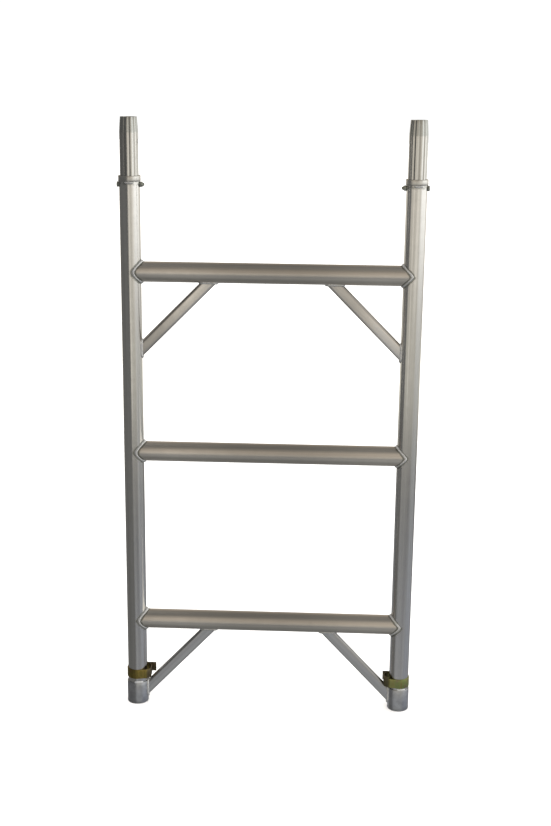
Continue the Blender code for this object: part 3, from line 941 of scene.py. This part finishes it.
def band_paths(side):
    """A band's middle line in plan, first axis inward: the wrap with its ear, then the bow."""
    radius = TUBE_RADIUS + BAND_CLEARANCE + BAND_THICKNESS / 2
    wall = BOW_REACH[side] - BAND_THICKNESS / 2
    steps = 56
    wrap = []
    for step in range(steps + 1):
        angle = WRAP_START + (WRAP_END - WRAP_START) * step / steps
        wrap.append(Vector((radius * math.cos(angle), radius * math.sin(angle))))
    tangent = Vector((-math.sin(WRAP_END), math.cos(WRAP_END)))
    knee = wrap[-1] + tangent * (TUBE_RADIUS - wrap[-1].x) / tangent.x
    corners = [wrap[-1], knee, Vector((wall, -BOW_HALF_WIDTH)), Vector((wall, BOW_HALF_WIDTH)),
               Vector((wall - BOW_CURL, BOW_HALF_WIDTH + BOW_CURL))]
    ear_reach = (inward(side) * UPRIGHT_X).x
    low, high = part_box(side + "_spring_band")
    ear_tip = max(abs(low.x + ear_reach), abs(high.x + ear_reach))
    ear = [Vector((ear_tip + (0.003 - ear_tip) * step / 6, radius)) for step in range(6)]
    return ear + wrap, rounded(corners, BEND_RADIUS, 8)


def strip(side, path):
    """A flat strip on edge along the path, its long edges rounded."""
    half, edge = BAND_THICKNESS / 2, 0.0006
    section = []
    for centre_u, centre_v, start in ((1, 1, 0), (-1, 1, 90), (-1, -1, 180), (1, -1, 270)):
        for step in range(4):
            angle = math.radians(start + 30 * step)
            section.append((centre_u * (half - edge) + edge * math.cos(angle),
                            centre_v * (BAND_HEIGHT / 2 - edge) + edge * math.sin(angle)))
    height = middle(side + "_spring_band").z
    rings = []
    for i, point in enumerate(path):
        ahead = (path[min(i + 1, len(path) - 1)] - path[max(i - 1, 0)]).normalized()
        across = Vector((ahead.y, -ahead.x))
        ring = []
        for u, v in section:
            flat = point + across * u
            ring.append(upright_axis(side, height + v) + inward(side) * flat.x + Vector((0, flat.y, 0)))
        rings.append(ring)
    return shell(rings)


def make_band(side, material):
    """Two pieces: the wrap rides with the frame; the bow stays where it is made, notched to clear the brace
    over the peg's travel.
    """
    wrap_path, bow_path = band_paths(side)
    node = side + "_spring_band"
    wrap = new_object(side + "_band_wrap", strip(side, wrap_path), material)
    settle(wrap)
    mount(wrap, "frame", "spring_band", node)
    bow = new_object(side + "_band_bow", strip(side, bow_path), material)
    foot, head = brace_line("lower", side)
    direction = (head - foot).normalized()
    sizes = bpy.context.scene.frame_tubes
    room = 0.0012
    outline = oval(sizes.brace_width + room + PEG_TRAVEL * direction.z, sizes.brace_depth + room)
    place = Matrix.Translation(foot - inward(side) * PEG_TRAVEL / 2) @ along(direction)
    stations = [(outline, 0), (outline, (head - foot).length)]
    notch = new_object("cutter", shell(placed(stations, place)))
    rivet_room, beyond_bow = 0.0028, 0.05
    rivet = rod(rivet_room, upright_axis(side, PEG_HEIGHT) + inward(side) * TUBE_RADIUS, inward(side),
                beyond_bow)
    cut(bow, notch, rivet)
    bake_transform(bow)
    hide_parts(node)


# Weld beads: a geometry-nodes tree runs rippled metal along paths

def weld_tree():
    """A rippled, uneven bead along each path; the path's own attribute gives its radius."""
    sockets = (("Geometry", ("Path",)), ("Float", ("Ripple Pitch", "Ripple Height", "Wobble", "Seed")))
    group, tree, given = open_group("weld_bead", sockets)
    curve = tree.node("GeometryNodeMeshToCurve", {}, {"Mesh": given["Path"]})
    curve = tree.node("GeometryNodeResampleCurve", {"mode": "LENGTH"},
                      {"Curve": curve, "Length": given["Ripple Pitch"] / 6})
    run = tree.node("GeometryNodeSplineParameter", {}, {}, "Length")
    size = tree.node("GeometryNodeInputNamedAttribute", {"data_type": "FLOAT"},
                     {"Name": "bead_radius"}, "Attribute")
    phase = run / given["Ripple Pitch"] * math.pi
    ripple = abs(phase.maths("SINE"))
    point = tree.node("GeometryNodeInputPosition")
    uneven = tree.noise(point, 130.0, 2.0, 0.5, given["Seed"]) - 0.5
    radius = size * (1 + given["Ripple Height"] * (ripple - 0.6) + given["Wobble"] * uneven)
    curve = tree.node("GeometryNodeStoreNamedAttribute", {"data_type": "FLOAT", "domain": "POINT"},
                      {"Geometry": curve, "Name": "ripple", "Value": ripple})
    profile = tree.node("GeometryNodeCurvePrimitiveCircle", {"mode": "RADIUS"},
                        {"Resolution": 14, "Radius": 1.0})
    bead = tree.node("GeometryNodeCurveToMesh", {}, {
        "Curve": curve, "Profile Curve": profile, "Scale": radius, "Fill Caps": True})
    close_group(tree, bead, given["Material"])
    return group


def rung_joint_path(name, side):
    """The saddle where a rung meets an upright, sunk a little at front and rear."""
    sizes = bpy.context.scene.frame_welds
    path = []
    for step in range(72):
        angle = 2 * math.pi * step / 72
        flatness = math.cos(angle) ** 2
        y = (TUBE_RADIUS - sizes.sink * flatness) * math.cos(angle)
        rise = TUBE_RADIUS * math.sin(angle)
        x = math.hypot(rise, COPE_BLUNT[side])
        place = upright_axis(side, RUNG_HEIGHTS[name] + rise) + inward(side) * x + Vector((0, y, 0))
        radius = sizes.rung * flatness + sizes.corner * (1 - flatness)
        path.append((place, radius - sizes.thin * math.sin(2 * angle) ** 2))
    return path


def brace_joint_path(level, side, share):
    """Round the end of a brace, on the tube that it meets."""
    tubes = bpy.context.scene.frame_tubes
    outline = oval(tubes.brace_width + 0.0004, tubes.brace_depth + 0.0004)
    radius = bpy.context.scene.frame_welds.brace
    return [(point, radius) for point in brace_ring(level, side, outline, share, 0.0002)]


def stitch_path(side, height, radius, centre_angle, spread, sag):
    """A short bead round the front of an upright, tapering at both ends."""
    bead = bpy.context.scene.frame_welds.stitch
    path = []
    for step in range(25):
        share = step / 12 - 1
        angle = math.radians(centre_angle + spread * share)
        place = upright_axis(side, height - sag * (1 - share * share))
        place += Vector((radius * math.cos(angle), radius * math.sin(angle), 0))
        path.append((place, bead * (1 - 0.55 * share ** 6)))
    return path


def path_mesh(closed_paths, open_paths):
    """All paths as one mesh of edges with the bead's radius on its points."""
    points, radii, edges = [], [], []
    for closed, paths in ((True, closed_paths), (False, open_paths)):
        for path in paths:
            start, count = len(points), len(path)
            points += [place for place, radius in path]
            radii += [radius for place, radius in path]
            edges += [(start + i, start + i + 1) for i in range(count - 1)]
            if closed:
                edges.append((start + count - 1, start))
    mesh = bpy.data.meshes.new("paths")
    mesh.from_pydata(points, edges, [])
    mesh.attributes.new("bead_radius", "FLOAT", "POINT").data.foreach_set("value", radii)
    return mesh


def make_beads(name, group, material, closed_paths=(), open_paths=()):
    sizes = bpy.context.scene.frame_welds
    piece = new_object(name, path_mesh(closed_paths, open_paths))
    grow(piece, group, {
        "Ripple Pitch": sizes.pitch, "Ripple Height": sizes.ripple, "Wobble": sizes.wobble,
        "Seed": sizes.seed, "Material": material})
    recalculate(piece)
    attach(piece, "frame")


# Studio

def glow(name, colour):
    """An unlit grey for a card that only reflections see."""
    finish = Finish(name)
    finish.set(Base_Color=(0.0, 0.0, 0.0, 1.0), Roughness=1.0, Specular_IOR_Level=0.0,
               Emission_Color=(*colour, 1.0), Emission_Strength=1.0)
    return finish.material


def flat_card(name, corners, material):
    mesh = bpy.data.meshes.new(name)
    mesh.from_pydata([Vector(corner) for corner in corners], [], [(0, 1, 2, 3)])
    card = new_object(name, mesh, material)
    return card


def hide_from(thing, *rays):
    for ray in rays:
        setattr(thing, "visible_" + ray, False)


def make_floor():
    finish = Finish("studio_floor")
    cloth = finish.noise(finish.point, 3.0, 2.0, 0.5, 21.0)
    finish.set(Base_Color=finish.mix(cloth, (0.90, 0.90, 0.90), (0.92, 0.92, 0.92)), Roughness=0.9,
               Specular_IOR_Level=0.0)
    reach, low = 30.0, -0.0002
    corners = ((-reach, -reach, low), (reach, -reach, low), (reach, reach, low), (-reach, reach, low))
    floor = flat_card("floor", corners, finish.material)
    hide_from(floor, "glossy", "diffuse")


def make_flag():
    """A dark card beyond the left upright, which gives the tubes their dark left side."""
    low, high = -2.0, 3.0
    near, far = (-0.452, -0.47), (-1.2, 0.9)
    corners = ((*near, low), (*far, low), (*far, high), (*near, high))
    flag = flat_card("left_flag", corners, glow("flag_grey", (0.125, 0.123, 0.118)))
    hide_from(flag, "camera", "diffuse", "shadow", "transmission")


def elevation_stops(table):
    """Ramp stops from (degrees above the horizon, colour) pairs."""
    return [((degrees + 90) / 180, colour) for degrees, colour in table]


FRONT_SKY = (
    (-90, (0.20, 0.20, 0.195)), (-62, (0.23, 0.23, 0.22)), (-48, (0.31, 0.305, 0.285)),
    (-38, (0.34, 0.335, 0.315)), (-30, (0.29, 0.29, 0.29)), (-24, (0.245, 0.25, 0.265)),
    (-20.5, (0.19, 0.195, 0.205)), (-18.5, (0.085, 0.085, 0.09)), (-16.5, (0.12, 0.12, 0.12)),
    (-14.5, (0.42, 0.40, 0.35)), (-13, (0.98, 0.93, 0.80)), (-11.5, (0.46, 0.44, 0.38)),
    (-10, (0.34, 0.32, 0.29)), (-7.5, (0.60, 0.56, 0.49)), (-2, (0.64, 0.59, 0.51)),
    (8, (0.46, 0.40, 0.33)), (30, (0.44, 0.38, 0.31)), (48, (0.28, 0.25, 0.21)),
    (65, (0.21, 0.20, 0.18)), (90, (0.19, 0.18, 0.17)))
RIGHT_SKY = (
    (-90, (0.16, 0.16, 0.155)), (-40, (0.20, 0.20, 0.215)), (-26, (0.25, 0.26, 0.29)),
    (-21.5, (0.30, 0.31, 0.335)), (-20, (0.22, 0.225, 0.235)), (-18, (0.165, 0.168, 0.174)),
    (-16.5, (0.24, 0.24, 0.24)), (-14.5, (0.38, 0.38, 0.36)), (-13, (0.56, 0.55, 0.51)),
    (-11, (0.44, 0.43, 0.40)), (-9, (0.60, 0.58, 0.55)), (-7, (1.20, 1.17, 1.10)),
    (-4, (1.40, 1.37, 1.30)), (20, (1.10, 1.07, 1.00)), (50, (0.45, 0.43, 0.40)),
    (90, (0.16, 0.15, 0.14)))


def make_sky():
    """White to the camera; the object reflects a warm front, a bright right and a dim top."""
    world = bpy.data.worlds.new("studio_sky")
    world.use_nodes = True
    bpy.context.scene.world = world
    world.node_tree.nodes.clear()
    tree = Tree(world.node_tree)
    x, y, z = tree.axes(tree.node("ShaderNodeTexCoord", {}, {}, "Generated"))
    level = z.maths("ARCSINE") / math.pi + 0.5
    azimuth = x.maths("ARCTAN2", 0 - y)
    front = tree.node("ShaderNodeValToRGB", {"stops": elevation_stops(FRONT_SKY)}, {"Fac": level})
    right = tree.node("ShaderNodeValToRGB", {"stops": elevation_stops(RIGHT_SKY)}, {"Fac": level})
    to_right = azimuth.fade(math.radians(34), math.radians(66))
    to_back = azimuth.fade(math.radians(105), math.radians(150))
    colour = tree.mix(to_right * (1 - to_back), front, right)
    seen = tree.node("ShaderNodeBackground", {}, {"Color": (1.0, 1.0, 1.0, 1.0), "Strength": 1.05})
    reflected = tree.node("ShaderNodeBackground", {}, {"Color": colour})
    to_camera = tree.node("ShaderNodeLightPath", {}, {}, "Is Camera Ray")
    both = tree.node("ShaderNodeMixShader", {}, {0: to_camera, 1: reflected, 2: seen})
    tree.node("ShaderNodeOutputWorld", {}, {"Surface": both})


def make_light(name, kind, place, turn, power, **settings):
    data = bpy.data.lights.new(name, kind)
    data.energy = power
    for setting, value in settings.items():
        setattr(data, setting, value)
    light = bpy.data.objects.new(name, data)
    light.location = place
    light.rotation_euler = [math.radians(angle) for angle in turn]
    bpy.context.scene.collection.objects.link(light)
    return light


def make_camera():
    settings = bpy.context.scene.frame_studio
    data = bpy.data.cameras.new("camera")
    data.lens = settings.lens
    data.clip_end = 200.0
    camera = bpy.data.objects.new("camera", data)
    camera.location = settings.camera_place
    camera.rotation_euler = settings.camera_turn
    bpy.context.scene.collection.objects.link(camera)
    bpy.context.scene.camera = camera


# Operators

class FRAME_OT_stage(bpy.types.Operator):
    """Set up the floor, the light and the camera"""
    bl_idname = "scaffold.stage"
    bl_label = "Stage"

    def execute(self, context):
        settings = context.scene.frame_studio
        context.scene.view_settings.view_transform = "Standard"
        make_floor()
        make_flag()
        make_sky()
        sun = make_light("overhead", "SUN", (0, 0, 4), (0, 0, 0), settings.floor_light,
                         angle=math.radians(150))
        hide_from(sun, "glossy")
        front = make_light("front_panel", "AREA", (-0.43, -1.5, 1.3), (90, 0, 0), settings.panel_light,
                           shape="RECTANGLE", size=0.26, size_y=1.8, color=(1.0, 0.93, 0.82))
        right = make_light("right_panel", "AREA", (1.0, -1.5, 1.5), (90, 0, 0), settings.right_light,
                           shape="RECTANGLE", size=1.0, size_y=1.4, color=(1.0, 0.97, 0.90))
        hide_from(front, "camera", "diffuse")
        hide_from(right, "camera", "diffuse")
        make_camera()
        return {"FINISHED"}


class FRAME_OT_uprights(bpy.types.Operator):
    """Make the two upright tubes"""
    bl_idname = "scaffold.uprights"
    bl_label = "Uprights"

    def execute(self, context):
        material = upright_metal()
        for side in SIDES:
            make_upright(side, material)
        return {"FINISHED"}


class FRAME_OT_rungs(bpy.types.Operator):
    """Make the three rungs"""
    bl_idname = "scaffold.rungs"
    bl_label = "Rungs"

    def execute(self, context):
        material = rung_metal()
        for name in RUNG_NAMES:
            make_rung(name, material)
        return {"FINISHED"}


class FRAME_OT_braces(bpy.types.Operator):
    """Make the four corner braces"""
    bl_idname = "scaffold.braces"
    bl_label = "Braces"

    def execute(self, context):
        for name in BRACE_NAMES:
            level, side = name.split("_")
            make_brace(level, side, brace_metal(level, side))
        return {"FINISHED"}


class FRAME_OT_rings(bpy.types.Operator):
    """Make the foot sleeves and the top collars"""
    bl_idname = "scaffold.rings"
    bl_label = "Sleeves and Collars"

    def execute(self, context):
        colours = context.scene.frame_finishes
        sleeve = ring_metal("sleeve_aluminium", tuple(colours.sleeve), 0.0, SLEEVE_TOP, 0.012)
        collar = ring_metal("collar_aluminium", tuple(colours.collar), COLLAR_FOOT, COLLAR_TOP, 0.006)
        for side in SIDES:
            make_ring(side + "_sleeve_ring", side + "_foot_sleeve", "sleeve", SLEEVE_RADIUS, sleeve)
            make_ring(side + "_collar_ring", side + "_top_collar", "collar", COLLAR_RADIUS, collar)
        return {"FINISHED"}


class FRAME_OT_spigots(bpy.types.Operator):
    """Make the fluted spigots"""
    bl_idname = "scaffold.spigots"
    bl_label = "Spigots"

    def execute(self, context):
        group = fluted_wall_tree()
        for side in SIDES:
            make_spigot(side, group, spigot_metal(side))
        return {"FINISHED"}


class FRAME_OT_fasteners(bpy.types.Operator):
    """Make the bolts and their lock nuts"""
    bl_idname = "scaffold.fasteners"
    bl_label = "Bolts and Nuts"

    def execute(self, context):
        material = steel_metal()
        for side in SIDES:
            make_bolt(side, material)
            make_nut(side, material)
        return {"FINISHED"}


class FRAME_OT_clips(bpy.types.Operator):
    """Make the spring bands and their pegs"""
    bl_idname = "scaffold.clips"
    bl_label = "Spring Clips"

    def execute(self, context):
        gold = ((0.24, 0.17, 0.06), (0.42, 0.33, 0.10), (0.30, 0.25, 0.07), (0.36, 0.23, 0.10))
        olive = ((0.32, 0.29, 0.10), (0.42, 0.42, 0.17), (0.34, 0.42, 0.16), (0.40, 0.34, 0.20))
        for side, colours in (("left", gold), ("right", olive)):
            material = zinc_metal(side + "_band_zinc", colours, side)
            make_band(side, material)
            make_peg(side, material)
        return {"FINISHED"}


class FRAME_OT_welds(bpy.types.Operator):
    """Run the weld beads round every joint"""
    bl_idname = "scaffold.welds"
    bl_label = "Welds"

    def execute(self, context):
        group = weld_tree()
        material = bead_metal("weld_metal", 0.85)
        frosted = bead_metal("frosted_weld_metal", 0.55)
        rungs = [rung_joint_path(name, side) for name in RUNG_NAMES for side in SIDES]
        make_beads("rung_welds", group, material, rungs)
        braces = [brace_joint_path(*name.split("_"), share) for name in BRACE_NAMES for share in (0, 1)]
        make_beads("brace_welds", group, material, braces)
        collars = [stitch_path(side, COLLAR_FOOT - 0.001, radius=0.0240, centre_angle=turn, spread=26,
                               sag=0.0015)
                   for side in SIDES for turn in (-85, 95)]
        make_beads("collar_welds", group, material, (), collars)
        sleeves = [stitch_path(side, SLEEVE_TOP + 0.0008, radius=0.0242, centre_angle=turn, spread=27,
                               sag=-0.0004)
                   for side in SIDES for turn in (-75, 105)]
        make_beads("sleeve_welds", group, frosted, (), sleeves)
        return {"FINISHED"}


OPERATORS = (FRAME_OT_stage, FRAME_OT_uprights, FRAME_OT_rungs, FRAME_OT_braces, FRAME_OT_rings,
             FRAME_OT_spigots, FRAME_OT_fasteners, FRAME_OT_clips, FRAME_OT_welds)
GROUPS = {"frame_tubes": TubeSizes, "frame_spigots": SpigotSizes, "frame_fasteners": FastenerSizes,
          "frame_welds": WeldSizes, "frame_finishes": Finishes, "frame_studio": StudioSettings}


class FRAME_PT_panel(bpy.types.Panel):
    """Lists the frame's operators and settings"""
    bl_idname = "FRAME_PT_panel"
    bl_label = "Scaffold End Frame"
    bl_space_type = "VIEW_3D"
    bl_region_type = "UI"
    bl_category = "Scaffold"

    def draw(self, context):
        for operator in OPERATORS:
            self.layout.operator(operator.bl_idname)
        for name, group in GROUPS.items():
            box = self.layout.box()
            for prop in group.__annotations__:
                box.prop(getattr(context.scene, name), prop)


def register():
    for item in (*GROUPS.values(), *OPERATORS, FRAME_PT_panel):
        bpy.utils.register_class(item)
    for name, group in GROUPS.items():
        setattr(bpy.types.Scene, name, PointerProperty(type=group))


def unregister():
    for name in GROUPS:
        delattr(bpy.types.Scene, name)
    for item in reversed((*GROUPS.values(), *OPERATORS, FRAME_PT_panel)):
        bpy.utils.unregister_class(item)


def main():
    register()
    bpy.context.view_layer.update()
    for operator in OPERATORS:
        name = operator.bl_idname.split(".")[1]
        getattr(bpy.ops.scaffold, name)()


if __name__ == "__main__":
    main()
